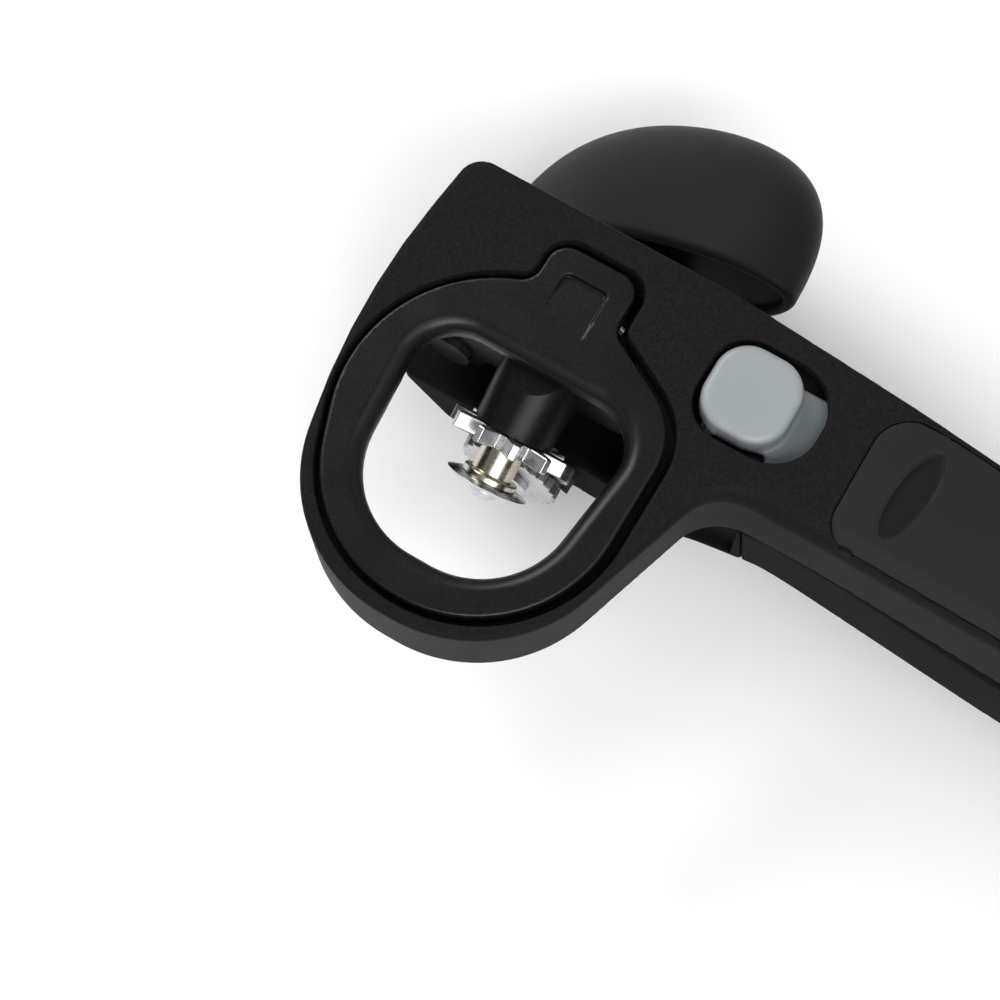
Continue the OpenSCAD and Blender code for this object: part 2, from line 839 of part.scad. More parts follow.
module cutting_wheel() {
    color([0.8, 0.8, 0.82])
        on_cutter_axis(0)
            difference() {
                union() {
                    translate([0, 0, -0.65])
                        cylinder(h = 0.65, r1 = disc_r - 1.3, r2 = disc_r);
                    cylinder(h = 0.5, r1 = disc_r, r2 = disc_r - 1.6);
                }
                translate([0, 0, -2])
                    cylinder(h = 4, r = axle_r + run);
            }
}

module cutter_hub() {
    color([0.74, 0.68, 0.52])
        on_cutter_axis(0.52)
            difference() {
                union() {
                    cylinder(h = 1.1, r = 4.6);
                    cylinder(h = gear_s - 0.54, r = 3.4);
                }
                translate([0, 0, -2])
                    cylinder(h = 10, r = axle_r + run);
            }
}

module cutter_gear() {
    color([0.76, 0.76, 0.78])
        on_cutter_axis(gear_s)
            gear(gear_t, 90 + 180 / teeth, axle_r + run);
}

head_shell();
upper_grip();
chassis();
chassis_screws();
hinge_pin();
hinge_washers();
cutter_axle();
axle_washer();
catch_pin();
catch_spring();
lock_spring();
lock_retainer();
lower_handle();
lower_grip();
hinge_bush();
drive_bushes();
strike_plate();
strike_screws();
drive_shaft();
drive_gear();
feed_wheel();
thrust_washer();
knob_core();
knob_grip();
knob_pin();
wave_washer();
cutting_wheel();
cutter_hub();
cutter_gear();
catch_lever();
magnet_cup();
magnet();
lock_button();
lock_slide();
lock_screw();
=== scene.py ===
import math

import bpy
import numpy as np
from mathutils import Matrix, Vector
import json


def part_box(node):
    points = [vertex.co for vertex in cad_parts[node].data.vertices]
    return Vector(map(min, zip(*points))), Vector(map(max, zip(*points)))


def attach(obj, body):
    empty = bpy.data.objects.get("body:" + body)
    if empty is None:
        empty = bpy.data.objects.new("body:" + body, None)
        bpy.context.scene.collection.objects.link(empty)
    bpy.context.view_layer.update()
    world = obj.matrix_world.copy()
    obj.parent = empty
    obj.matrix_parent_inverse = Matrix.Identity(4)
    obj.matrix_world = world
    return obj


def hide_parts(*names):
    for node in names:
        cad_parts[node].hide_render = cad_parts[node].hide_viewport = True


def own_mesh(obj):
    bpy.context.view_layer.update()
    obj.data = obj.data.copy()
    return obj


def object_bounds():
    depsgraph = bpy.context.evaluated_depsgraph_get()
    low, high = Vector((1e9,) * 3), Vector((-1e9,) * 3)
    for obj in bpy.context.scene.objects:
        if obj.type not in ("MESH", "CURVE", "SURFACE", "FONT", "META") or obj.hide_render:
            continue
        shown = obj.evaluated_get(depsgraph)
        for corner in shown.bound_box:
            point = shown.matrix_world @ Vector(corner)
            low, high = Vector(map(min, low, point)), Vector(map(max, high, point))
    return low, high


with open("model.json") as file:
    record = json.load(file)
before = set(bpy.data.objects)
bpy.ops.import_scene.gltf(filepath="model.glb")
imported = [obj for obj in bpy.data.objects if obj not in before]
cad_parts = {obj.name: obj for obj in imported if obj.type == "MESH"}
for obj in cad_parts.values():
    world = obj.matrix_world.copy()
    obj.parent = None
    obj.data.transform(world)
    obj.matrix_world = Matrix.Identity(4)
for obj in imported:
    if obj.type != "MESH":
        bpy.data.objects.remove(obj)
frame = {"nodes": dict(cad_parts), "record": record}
cad_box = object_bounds()
nodes = frame["nodes"]
MM = 0.001

# ---- sizes shared with the CAD, in millimetres ------------------------------------------------

TOP_Z, SKIRT_Z, WALL = 19.0, 2.8, 2.4
UPPER_LEN, LOWER_LEN = 166.0, 148.0
TILT, DISC_R, AXLE_R = 24.0, 6.9, 2.0
CUT_IN, CUT_DEPTH = 4.6, 5.1
DISC_Y = -CUT_IN - DISC_R * math.sin(math.radians(TILT))
DISC_Z = DISC_R * math.cos(math.radians(TILT)) - CUT_DEPTH
GEAR_S, GEAR_T, DRIVE_Z, DRIVE_GEAR_Y, DRIVE_GEAR_T = 6.2, 2.6, -12.0, 1.4, 3.0
FEED_R, FEED_Y, FEED_T, FEED_NOTCHES, NOTCH_DEPTH = 8.8, -1.1, 2.1, 26, 0.8
KNOB_A, KNOB_B, KNOB_TURN, KNOB_Y0, KNOB_Y1, KNOB_CROWN = 33.8, 12.0, 38.0, 40.7, 68.3, 2.55
KNOB_SKIN, KNOB_LAP, KNOB_EDGE = 2.15, 6.2, 1.2
RING_TOP, RING_Z, RING_GAP, POCKET_X = 18.6, 14.4, 1.15, 0.45
DECK_Z, DECK_T = RING_Z - 1.5, 1.3
BASE_Z, BASE_T = TOP_Z - WALL - 0.3 - 1.4, 1.4
MAGNET_Y, CUP_R = -29.9, 2.6
CATCH_Y, CATCH_Z = 17.5, 12.0
BARREL_R, BARREL_X = 2.1, (-3.8, 7.6)
TAB_X, TAB_Y, TAB_LONG, TAB_ROUND, TAB_START, TAB_SLOPE = 2.55, 16.25, 5.8, 1.2, 15.9, 0.121
HINGE_X, HINGE_Z, KNUCKLE_R, KNUCKLE_Y = -17.0, -1.5, 5.2, (13.7, 26.9)
BOSS_R, BOSS_Y = 7.0, (5.2, 27.4)
AXLE_BORE, SHAFT_BORE, DRIVE_BUSH_BORE, HINGE_BUSH_BORE, SCREW_BORE = AXLE_R + 0.05, 3.02, 4.62, 3.52, 1.02
STRIKE_SCREWS_Y, STRIKE_SCREWS_Z = (15.4, 23.0), -2.4
LOCK_X, LOCK_Y = 31, 19.2
BUTTON_TOP, DISH_X, DISH_Y, DISH_UP, DISH_R = TOP_Z + 2.0, 30.7, 19.15, 58, 58.6
HOLLOW_END, GRIP_END = UPPER_LEN - 16, UPPER_LEN - 15
HANG_X, HANG_Y, HANG_R = UPPER_LEN - 8, 17.0, 3.5
GRIP_DEPTH, LOW_GRIP_DEPTH = 1.6, 1.5
# heights over which the button's painted shade fades out, in millimetres
PAINTED_SHADE_LOW, PAINTED_SHADE_HIGH = 15.4, 20.4
SPRING_Y, SPRING_Z = 19.2, 10.4
OVAL_X, OVAL_Y, OVAL_A, OVAL_B, OVAL_LEAN, OVAL_DEPTH = 57.9, 17.9, 2.55, 7.9, 0.1, 0.75

HEAD_PLAN = [(-25.9, 33.2, 4), (-29.38, 2.92, 115), (-19.87, -36.7, 24.4), (19.3, -36.7, 24.6),
             (32.6, 5.0, 9), (100, 5.2, 60), (UPPER_LEN, 7.0, 10), (UPPER_LEN, 27.0, 10), (100, 26.8, 90),
             (20, 33.1, 120)]
HEAD_SIDE = [(-30, SKIRT_Z, 0), (54, SKIRT_Z + 0.6, 50), (84, -1.6, 60), (112, -3.2, 90),
             (UPPER_LEN + 1, -6.5, 3), (UPPER_LEN + 1, 4.6, 3), (112, 14.2, 160), (52, TOP_Z, 120),
             (-30, TOP_Z, 0)]
RING_PLAN = [(-7.4, 27.3, 3.5), (-7.4, 19.46, 3.5), (-31.71, 9.15, 25), (-16.22, -33.4, 23),
             (23.4, -33.4, 23), (23.6, 9.5, 12), (7.4, 18.3, 3.5), (7.4, 27.3, 3.5)]
WINDOW_PLAN = [(-18.0, 7.8, 7.5), (-15.2, -26.5, 15), (15.2, -26.5, 15), (19.4, 7.8, 7.5)]
GRIP_PLAN = [(49.2, 28.9, 6.5), (49.2, 5.9, 4.5), (GRIP_END, 5.9, 7), (GRIP_END, 28.9, 7)]
BUTTON_PLAN = [(23.2, 26.9, 5.5), (23.2, 12.4, 5.5), (37.3, 12.4, 5.5), (37.3, 26.9, 5.5)]
BASE_PLAN = [(28.6, 25.6, 2), (28.6, 13.4, 1), (36.2, 13.4, 1), (36.8, 11.6, 0.6), (45.5, 11.6, 2),
             (45.5, 25.6, 5)]
SLOT_PLAN = [(22.4, 28.0, 6), (22.4, 11.1, 6), (41.9, 11.1, 7.5), (41.9, 28.0, 7.5)]
LOW_PLAN = [(-24.5, 27.4, 0), (-24.5, 4.6, 0), (10, 4.9, 10), (26, 3.9, 10), (42, 5.9, 20), (100, 4.6, 60),
            (LOWER_LEN, 6.4, 10), (LOWER_LEN, 27.0, 10), (100, 26.8, 90), (34, 31.4, 20), (27, 27.4, 4)]
LOW_SIDE = [(-23.5, -7.2, 1), (-23.5, -10.5, 2), (-15, -21.3, 5), (13, -21, 8), (31, -13.4, 14),
            (47, -13, 30), (84, -20.5, 60), (118, -24, 60), (LOWER_LEN + 1, -20.5, 6),
            (LOWER_LEN + 1, SKIRT_Z - 9.2, 2), (112, -4.2, 90), (84, -2.6, 60), (54, SKIRT_Z - 0.4, 50),
            (27.6, SKIRT_Z - 1.0, 1), (26.2, -7.2, 1)]
LOW_HOLLOW = [(30, 30, 0), (30, -10.8, 4), (47, -10.4, 30), (84, -17.4, 60), (118, -20.9, 60),
              (LOWER_LEN - 2.6, -17.6, 5), (LOWER_LEN - 2.6, 30, 0)]
GRIP_FRONT = [(37, 10, 0), (41, -30, 0), (LOWER_LEN - 12, -30, 0), (LOWER_LEN - 12, 10, 0)]
WEB_SIDE = [(-21.6, -3.4, 1.5), (-14.6, -9.4, 1.5), (9, -9.4, 1), (6, -5.2, 3), (-10, 1.8, 3), (-15, 3.6, 1)]
SCREWS = [(-19.6, 25.2), (-20.6, 17.6), (16.4, 25.4), (16.8, 18.2)]


# ---- outlines and signed distances ----------------------------------------------------------------

def rounded(corners):
    """An outline given by corners (x, y, radius), as points with the roundings worked out."""
    points = []
    n = len(corners)
    for i in range(n):
        a, b, c = (np.array(corners[(i + k) % n][:2], float) for k in (-1, 0, 1))
        r = corners[i][2]
        if r == 0:
            points.append(b)
            continue
        u, v = (a - b) / np.linalg.norm(a - b), (c - b) / np.linalg.norm(c - b)
        half = math.acos(max(-1, min(1, float(u @ v)))) / 2
        centre = b + (u + v) / np.linalg.norm(u + v) * r / math.sin(half)
        start = b + u * r / math.tan(half) - centre
        turn = math.pi - 2 * half
        way = 1 if start[0] * -u[1] + start[1] * u[0] > 0 else -1
        for t in np.linspace(0, way * turn, max(3, int(turn / 0.05))):
            points.append(centre + [start[0] * math.cos(t) - start[1] * math.sin(t),
                                    start[0] * math.sin(t) + start[1] * math.cos(t)])
    return np.array(points)


class Outline:
    """Signed distance from an outline, negative inside, read from a fine table."""

    def __init__(self, points, margin=6.0, step=0.25):
        self.low = points.min(0) - margin
        self.step = step
        count = np.ceil((points.max(0) + margin - self.low) / step).astype(int) + 1
        x = self.low[0] + step * np.arange(count[0])[:, None]
        y = self.low[1] + step * np.arange(count[1])[None, :]
        nearest = np.full(count, 1e9)
        inside = np.zeros(count, bool)
        for a, b in zip(points, np.roll(points, -1, 0)):
            d = b - a
            size = d @ d
            if size < 1e-12:
                continue
            t = np.clip(((x - a[0]) * d[0] + (y - a[1]) * d[1]) / size, 0, 1)
            nearest = np.minimum(nearest, (x - a[0] - t * d[0]) ** 2 + (y - a[1] - t * d[1]) ** 2)
            if a[1] != b[1]:
                crosses = ((a[1] > y) != (b[1] > y)) & (x < a[0] + (y - a[1]) * d[0] / d[1])
                inside ^= crosses
        self.table = np.sqrt(nearest) * np.where(inside, -1, 1)

    def __call__(self, x, y):
        last = np.array(self.table.shape) - 2
        fx, fy = (np.asarray(x) - self.low[0]) / self.step, (np.asarray(y) - self.low[1]) / self.step
        ix = np.clip(np.floor(fx).astype(int), 0, last[0])
        iy = np.clip(np.floor(fy).astype(int), 0, last[1])
        tx, ty = np.clip(fx - ix, 0, 1), np.clip(fy - iy, 0, 1)
        g = self.table
        near = g[ix, iy] * (1 - tx) * (1 - ty) + g[ix + 1, iy] * tx * (1 - ty)
        near = near + g[ix, iy + 1] * (1 - tx) * ty + g[ix + 1, iy + 1] * tx * ty
        outside = np.maximum(0, np.maximum(-fx, fx - last[0] - 1))
        outside = outside + np.maximum(0, np.maximum(-fy, fy - last[1] - 1))
        return near + outside * self.step


def both(a, b, r=0.0):
    """Intersection of two solids, with the edge between them rounded to radius r."""
    if np.ndim(r) == 0 and r <= 0:
        return np.maximum(a, b)
    return np.minimum(np.maximum(a, b), -r) + np.hypot(np.maximum(a + r, 0), np.maximum(b + r, 0))


def either(a, b, r=0.0):
    return -both(-a, -b, r)


def minus(a, b, r=0.0):
    return both(a, -b, r)


def between(v, low, high):
    return np.maximum(low - v, v - high)


def box_field(x, y, z, x0, x1, y0, y1, z0, z1):
    return np.maximum(np.maximum(between(x, x0, x1), between(y, y0, y1)), between(z, z0, z1))


# ---- from a field to a mesh -----------------------------------------------------------------------

def surface(field, low, high, step):
    """Points, quads and normals of the surface where the field is zero."""
    count = np.ceil((np.array(high) - low) / step).astype(int) + 1
    axes = [low[k] + step * np.arange(count[k]) for k in range(3)]
    f = np.broadcast_to(field(axes[0][:, None, None], axes[1][None, :, None], axes[2][None, None, :]), count)
    solid = f < 0
    corner_sum = np.zeros(count - 1, np.int8)
    shifts = [(i, j, k) for i in (0, 1) for j in (0, 1) for k in (0, 1)]
    for s in shifts:
        corner_sum += solid[tuple(slice(s[a], count[a] - 1 + s[a]) for a in range(3))]
    cells = np.argwhere((corner_sum > 0) & (corner_sum < 8))
    index = np.full(count - 1, -1, np.int64)
    index[tuple(cells.T)] = np.arange(len(cells))
    total, hits = np.zeros((len(cells), 3)), np.zeros(len(cells))
    for a in range(3):
        b, c = (a + 1) % 3, (a + 2) % 3
        for ob in (0, 1):
            for oc in (0, 1):
                start = cells.copy()
                start[:, b] += ob
                start[:, c] += oc
                end = start.copy()
                end[:, a] += 1
                f0, f1 = f[tuple(start.T)], f[tuple(end.T)]
                cut = (f0 < 0) != (f1 < 0)
                t = np.where(cut, f0 / np.where(cut, f0 - f1, 1), 0)
                point = start + 0.0
                point[:, a] += t
                total += point * cut[:, None]
                hits += cut
    points = low + step * total / hits[:, None]
    quads = []
    for a in range(3):
        b, c = (a + 1) % 3, (a + 2) % 3
        first = tuple(slice(0, count[k] - 1) if k == a else slice(1, count[k] - 1) for k in range(3))
        second = tuple(slice(1, count[k]) if k == a else slice(1, count[k] - 1) for k in range(3))
        for sign in (True, False):
            edges = np.argwhere((solid[first] == sign) & (solid[second] != sign))
            for k in (b, c):
                edges[:, k] += 1
            ring = []
            for ob, oc in ((1, 1), (0, 1), (0, 0), (1, 0)):
                at = edges.copy()
                at[:, b] -= ob
                at[:, c] -= oc
                ring.append(index[tuple(at.T)])
            ring = np.stack(ring, 1)
            quads.append(ring if sign else ring[:, ::-1])
    quads = np.concatenate(quads)

    def slope(p, h=0.02):
        g = np.empty_like(p)
        for k in range(3):
            up, down = p.copy(), p.copy()
            up[:, k] += h
            down[:, k] -= h
            g[:, k] = (field(*up.T) - field(*down.T)) / (2 * h)
        return g
    for _ in range(3):
        g = slope(points)
        move = field(*points.T)[:, None] * g / np.maximum((g ** 2).sum(1), 0.2)[:, None]
        points = points - np.clip(move, -step / 2, step / 2)
    g = slope(points)
    return points, quads, g / np.maximum(np.linalg.norm(g, axis=1), 1e-6)[:, None]


def piece(name, body, node, material, points, quads, normals=None, place=None):
    """A mesh in millimetres, put in place, that rides on a body and stands for one CAD node."""
    mesh = bpy.data.meshes.new(name)
    mesh.from_pydata((np.asarray(points) * MM).tolist(), [], [list(map(int, q)) for q in quads])
    mesh.materials.append(material)
    mesh.shade_smooth()
    if place is not None:
        mesh.transform(place)
    mesh.update()
    if normals is not None:
        facing = np.asarray(normals)
        if place is not None:
            facing = facing @ np.array(place.to_3x3()).T
        mesh.normals_split_custom_set_from_vertices(facing.tolist())
    obj = bpy.data.objects.new(name, mesh)
    bpy.context.scene.collection.objects.link(obj)
    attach(obj, body)
    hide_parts(node)
    return obj


def solid_piece(node, body, material, field, low, high, step, place=None):
    points, quads, normals = surface(field, np.array(low, float), np.array(high, float), step)
    return piece(node + "_form", body, node, material, points, quads, normals, place)


# ---- materials -------------------------------------------------------------------------------------

class Nodes:
    """A short way to build a node material."""

    def __init__(self, name):
        self.mat = bpy.data.materials.new(name)
        self.mat.use_nodes = True
        self.tree = self.mat.node_tree
        self.shader = self.tree.nodes["Principled BSDF"]

    def put(self, value, socket):
        if isinstance(value, bpy.types.NodeSocket):
            self.tree.links.new(value, socket)
        else:
            socket.default_value = value

    def coords(self):
        return self.tree.nodes.new("ShaderNodeTexCoord").outputs["Object"]

    def split(self):
        node = self.tree.nodes.new("ShaderNodeSeparateXYZ")
        self.tree.links.new(self.coords(), node.inputs["Vector"])
        return node.outputs

    def noise(self, scale, detail=2.0, rough=0.5, vector=None):
        node = self.tree.nodes.new("ShaderNodeTexNoise")
        node.inputs["Scale"].default_value = scale
        node.inputs["Detail"].default_value = detail
        node.inputs["Roughness"].default_value = rough
        self.tree.links.new(vector or self.coords(), node.inputs["Vector"])
        return node.outputs["Fac"]

    def ramp(self, value, low, high, to_low=0.0, to_high=1.0):
        node = self.tree.nodes.new("ShaderNodeMapRange")
        self.tree.links.new(value, node.inputs["Value"])
        for key, v in (("From Min", low), ("From Max", high), ("To Min", to_low), ("To Max", to_high)):
            node.inputs[key].default_value = v
        return node.outputs["Result"]

    def math(self, operation, a, b):
        node = self.tree.nodes.new("ShaderNodeMath")
        node.operation = operation
        self.put(a, node.inputs[0])
        self.put(b, node.inputs[1])
        return node.outputs[0]

    def mix(self, factor, a, b):
        node = self.tree.nodes.new("ShaderNodeMix")
        node.data_type = "RGBA"
        self.put(factor, node.inputs["Factor"])
        self.put((*a, 1.0) if isinstance(a, tuple) else a, node.inputs["A"])
        self.put((*b, 1.0) if isinstance(b, tuple) else b, node.inputs["B"])
        return node.outputs["Result"]

    def bump(self, height, strength, distance, normal=None):
        node = self.tree.nodes.new("ShaderNodeBump")
        node.inputs["Strength"].default_value = strength
        node.inputs["Distance"].default_value = distance
        self.tree.links.new(height, node.inputs["Height"])
        if normal:
            self.tree.links.new(normal, node.inputs["Normal"])
        return node.outputs["Normal"]

    def set(self, **inputs):
        for key, value in inputs.items():
            self.put(value, self.shader.inputs[key.replace("_", " ")])
        return self.mat


def moulded(name, colour, rough, grain=2600, depth=0.00004, fleck=0.25, ior=1.075, painted_shade=None):
    """Moulded plastic with a fine texture and an uneven sheen; the last argument, if given, is painted shade:
    a darker colour low on the piece.
    """
    n = Nodes(name)
    fine, broad = n.noise(grain, 3.0, 0.6), n.noise(110, 3.0)
    light = tuple(c * (1 + fleck) + 0.001 for c in colour)
    dark = tuple(c * (1 - fleck) for c in colour)
    tone = n.mix(n.ramp(fine, 0.35, 0.7), dark, light)
    # painted shade: the colour darkens towards the bottom of the piece, standing in for the shade in a deep
    # slot
    if painted_shade:
        tone = n.mix(n.ramp(n.split()["Z"], PAINTED_SHADE_LOW * MM, PAINTED_SHADE_HIGH * MM), painted_shade, tone)
    rub = n.math("ADD", n.ramp(broad, 0.3, 0.7, rough - 0.03, rough + 0.03),
                 n.ramp(fine, 0.3, 0.7, -0.03, 0.03))
    normal = n.bump(fine, 0.6, depth, n.bump(n.noise(380, 2.0), 0.25, 0.00005))
    return n.set(Base_Color=tone, Roughness=rub, Normal=normal, IOR=ior)


def soft(name, colour, rough, sheen=0.06, ior=1.25, recess_shade=None):
    """Soft satin elastomer with a very fine skin and faint handling marks; the last argument, if given,
    colours the oval recess darker as painted shade.
    """
    n = Nodes(name)
    fine, broad = n.noise(4200, 2.0, 0.5), n.noise(70, 4.0, 0.55)
    tone = n.mix(n.ramp(broad, 0.3, 0.7), tuple(c * 0.9 for c in colour), tuple(c * 1.1 for c in colour))
    # painted shade: the oval recess is coloured darker to stand in for the shade on its floor
    if recess_shade:
        place = n.split()
        along = n.math("SUBTRACT", place["Y"], OVAL_Y * MM)
        across = n.math("SUBTRACT", n.math("SUBTRACT", place["X"], OVAL_X * MM),
                        n.math("MULTIPLY", along, OVAL_LEAN))
        squares = [n.math("POWER", n.math("ABSOLUTE", n.math("DIVIDE", length, half * MM), 0), 2)
                   for length, half in ((across, OVAL_A), (along, OVAL_B))]
        tone = n.mix(n.ramp(n.math("ADD", *squares), 0.8, 0.97), recess_shade, tone)
    rub = n.ramp(broad, 0.3, 0.7, rough - 0.04, rough + 0.05)
    return n.set(Base_Color=tone, Roughness=rub, Normal=n.bump(fine, 0.5, 0.00002), Sheen_Weight=sheen,
                 Sheen_Roughness=0.5, IOR=ior)


def steel(name, colour, rough, axis=None, lines=900, depth=0.00001):
    """Steel with turning or rolling marks, small stains and an uneven polish."""
    n = Nodes(name)
    coords = n.coords()
    mapping = n.tree.nodes.new("ShaderNodeMapping")
    n.tree.links.new(coords, mapping.inputs["Vector"])
    stretch = [1.0, 1.0, 1.0]
    if axis is not None:
        stretch[axis] = 14.0
    mapping.inputs["Scale"].default_value = stretch
    marks, stain = n.noise(lines, 4.0, 0.6, mapping.outputs["Vector"]), n.noise(420, 3.0)
    tone = n.mix(n.ramp(stain, 0.35, 0.7), tuple(c * 0.82 for c in colour), colour)
    rub = n.math("ADD", n.ramp(marks, 0.3, 0.7, rough - 0.07, rough + 0.09),
                 n.ramp(stain, 0.4, 0.7, 0.0, 0.06))
    return n.set(Base_Color=tone, Metallic=1.0, Roughness=rub, Normal=n.bump(marks, 0.35, depth))


mats = {
    "shell_plastic": moulded("black_moulding", (0.0102, 0.0102, 0.0112), 0.48, 2600, 0.00004, 0.25, 1.095),
    "low_plastic": moulded("low_moulding", (0.0075, 0.0075, 0.0083), 0.5, 2600, 0.00004, 0.25, 1.06),
    "frame_plastic": moulded("frame_moulding", (0.0048, 0.0048, 0.0052), 0.34, 1800, 0.00002, 0.25, 1.24),
    "ring_plastic": moulded("ring_moulding", (0.0058, 0.0058, 0.0064), 0.33, 3000, 0.00003, 0.25, 1.32),
    # the inlay's oval recess gets a painted shade colour
    "grip_soft": soft("soft_inlay", (0.0115, 0.0115, 0.0129), 0.62, recess_shade=(0.004, 0.004, 0.0045)),
    "low_grip": soft("low_inlay", (0.0075, 0.0075, 0.0083), 0.55, 0.0, 1.08),
    "knob_soft": soft("soft_knob", (0.0062, 0.0062, 0.007), 0.58, 0.05, 1.2),
    "core_plastic": moulded("core_moulding", (0.0035, 0.0035, 0.0038), 0.45, 2000, 0.00002, 0.25, 1.2),
    # the button's base plate and low walls get a painted shade colour for the shade in its slot
    "button_plastic": moulded("button_moulding", (0.248, 0.27, 0.28), 0.42, 3600, 0.00001, 0.03, 1.48,
                              painted_shade=(0.085, 0.1, 0.106)),
    "cutter_steel": steel("ground_steel", (0.62, 0.63, 0.645), 0.2, 1, 1400),
    "gear_steel": steel("sintered_steel", (0.6, 0.6, 0.61), 0.3, None, 1600, 0.00003),
    "hub_steel": steel("turned_steel", (0.63, 0.58, 0.47), 0.24, 1, 1500),
    "plated_steel": steel("plated_steel", (0.6, 0.61, 0.625), 0.26, None, 1100),
    # porous sintered bronze, darkened well beyond its own colour as painted shade for the dark gap where the
    # bush shows
    "bearing_bronze": steel("porous_bronze_painted_shade", (0.2, 0.135, 0.065), 0.55, None, 2600, 0.00003),
    "magnet_black": steel("magnet_face", (0.2, 0.2, 0.21), 0.4, None, 900),
    "spring_steel": steel("drawn_wire", (0.5, 0.5, 0.5), 0.3, 1, 2000),
    "black_steel": moulded("blackened_steel", (0.012, 0.012, 0.013), 0.35, 1500, 0.00002, 0.25, 1.24),
}
slots = {sub["node"]: sub["material_slot"] for sub in frame["record"]["subparts"]}
for node, slot_name in slots.items():
    data = nodes[node].data
    data.materials.clear()
    data.materials.append(mats[slot_name])

# ---- fields of the moulded pieces ------------------------------------------------------------------

head_plan, ring_plan, window_plan = (Outline(rounded(c)) for c in (HEAD_PLAN, RING_PLAN, WINDOW_PLAN))
grip_plan, button_plan, base_plan, slot_plan = (
    Outline(rounded(c)) for c in (GRIP_PLAN, BUTTON_PLAN, BASE_PLAN, SLOT_PLAN))
low_plan, low_side, low_hollow, grip_front, web_side = (
    Outline(rounded(c)) for c in (LOW_PLAN, LOW_SIDE, LOW_HOLLOW, GRIP_FRONT, WEB_SIDE))
side_points = rounded(HEAD_SIDE)
upper_edge = np.array([p for p in side_points if p[1] > 4.0])
lower_edge = np.array([p for p in side_points if p[1] <= 4.0])


def height_over(edge, x, z):
    """Height of a point over an edge line, measured square to the edge."""
    edge = edge[np.argsort(edge[:, 0])]
    at = np.interp(x, edge[:, 0], edge[:, 1])
    rise = (np.interp(x + 0.5, edge[:, 0], edge[:, 1]) - np.interp(x - 0.5, edge[:, 0], edge[:, 1]))
    return (z - at) / np.hypot(1, rise)


def ease(v, start, end):
    """A smooth step from 0 at start to 1 at end."""
    t = np.clip((v - start) / (end - start), 0, 1)
    return t * t * (3 - 2 * t)


def head_outer(x, y, z):
    """The upper handle's outside: a small edge radius, larger on the handle's near side."""
    edge = 0.95 + 3.0 * ease(x, 22, 44) * ease(y, 21, 13)
    top = both(head_plan(x, y), height_over(upper_edge, x, z), edge)
    return both(top, -height_over(lower_edge, x, z), 0.7)


def post(x, y, z, at, r, z0, z1):
    return both(np.hypot(x - at[0], y - at[1]) - r, between(z, z0, z1))


def head_field(x, y, z):
    plan, top, ring = head_plan(x, y), height_over(upper_edge, x, z), ring_plan(x - POCKET_X, y)
    outer = head_outer(x, y, z)
    hollow = both(both(plan + WALL, top + WALL, 1.5), x - HOLLOW_END, 1.5)
    f = minus(outer, hollow, 0.6)
    f = minus(f, ring - RING_GAP, 0.35)
    wall = both(both(ring - RING_GAP - 1.6, -(ring - RING_GAP)), between(z, DECK_Z, TOP_Z - WALL + 0.5))
    deck = both(both(ring - RING_GAP - 0.2, -(window_plan(x, y) - 1), 0.4),
                between(z, DECK_Z, DECK_Z + DECK_T), 0.2)
    deck = minus(deck, box_field(x, y, z, -12, 12, 12.8, 40, -30, 30))
    deck = minus(deck, np.hypot(x, y - MAGNET_Y) - (CUP_R + 0.6))
    f = either(f, both(either(wall, deck), plan + 0.5), 0.3)
    for p in SCREWS:
        tube = minus(post(x, y, z, p, 2.7, 12.4, TOP_Z - WALL + 0.5), np.hypot(x - p[0], y - p[1]) - 1.05)
        f = either(f, tube, 0.4)
    f = either(f, both(box_field(x, y, z, 52.5, 54.5, 4, 40, 3, 18), plan + 0.5), 0.3)
    f = either(f, both(outer + 0.5, GRIP_END - x), 0.5)
    f = minus(f, np.maximum(slot_plan(x, y), BASE_Z + BASE_T + 0.1 - z), 0.4)
    recess = np.maximum(grip_plan(x, y), plan + 1.0)
    f = minus(f, np.maximum(recess, -(outer + GRIP_DEPTH)), 0.2)
    return minus(f, np.hypot(x - HANG_X, y - HANG_Y) - HANG_R, 1.0)


def oval_reach(x, y):
    """How far a point lies from the middle of the inlay's oval recess: 1 on its outline."""
    along = y - OVAL_Y
    return np.hypot((x - OVAL_X - OVAL_LEAN * along) / OVAL_A, along / OVAL_B)


def upper_grip_field(x, y, z):
    outer = head_outer(x, y, z)
    f = both(both(np.maximum(grip_plan(x, y), head_plan(x, y) + 1.0) + 0.12, outer - 0.12, 0.3),
             -(outer + GRIP_DEPTH - 0.05), 0.3)
    return minus(f, np.maximum((oval_reach(x, y) - 1) * OVAL_A, -(outer + OVAL_DEPTH)), 0.25)


def ring_field(x, y, z):
    ring, window = ring_plan(x, y), window_plan(x, y)
    f = both(z - RING_TOP, -window, 2.6)
    f = both(f, ring, 0.5)
    f = both(f, RING_Z - z, 0.5)
    f = either(f, both(np.hypot(y - CATCH_Y, z - CATCH_Z) - BARREL_R, between(x, *BARREL_X), 0.3))
    f = either(f, box_field(x, y, z, *BARREL_X, CATCH_Y - 1.6, CATCH_Y + 1.6, CATCH_Z, RING_Z + 0.5), 0.4)
    f = either(f, post(x, y, z, (0, MAGNET_Y), CUP_R, 4, RING_Z + 0.5), 0.4)
    f = minus(f, np.hypot(y - CATCH_Y, z - CATCH_Z) - 1.25)
    tab = np.hypot(np.maximum(np.abs(x) - TAB_X, 0), np.maximum(np.abs(y - TAB_Y) - TAB_LONG, 0)) - TAB_ROUND
    tab_floor = RING_TOP - TAB_SLOPE * (y - TAB_START)
    return minus(f, np.maximum(tab, tab_floor - z), 0.2)


def low_outer(x, y, z):
    return both(low_plan(x, y), low_side(x, z), 1.6)


def low_inside(x, y, z):
    return both(low_plan(x, y) + (WALL + LOW_GRIP_DEPTH), low_hollow(x, z), 1.5)


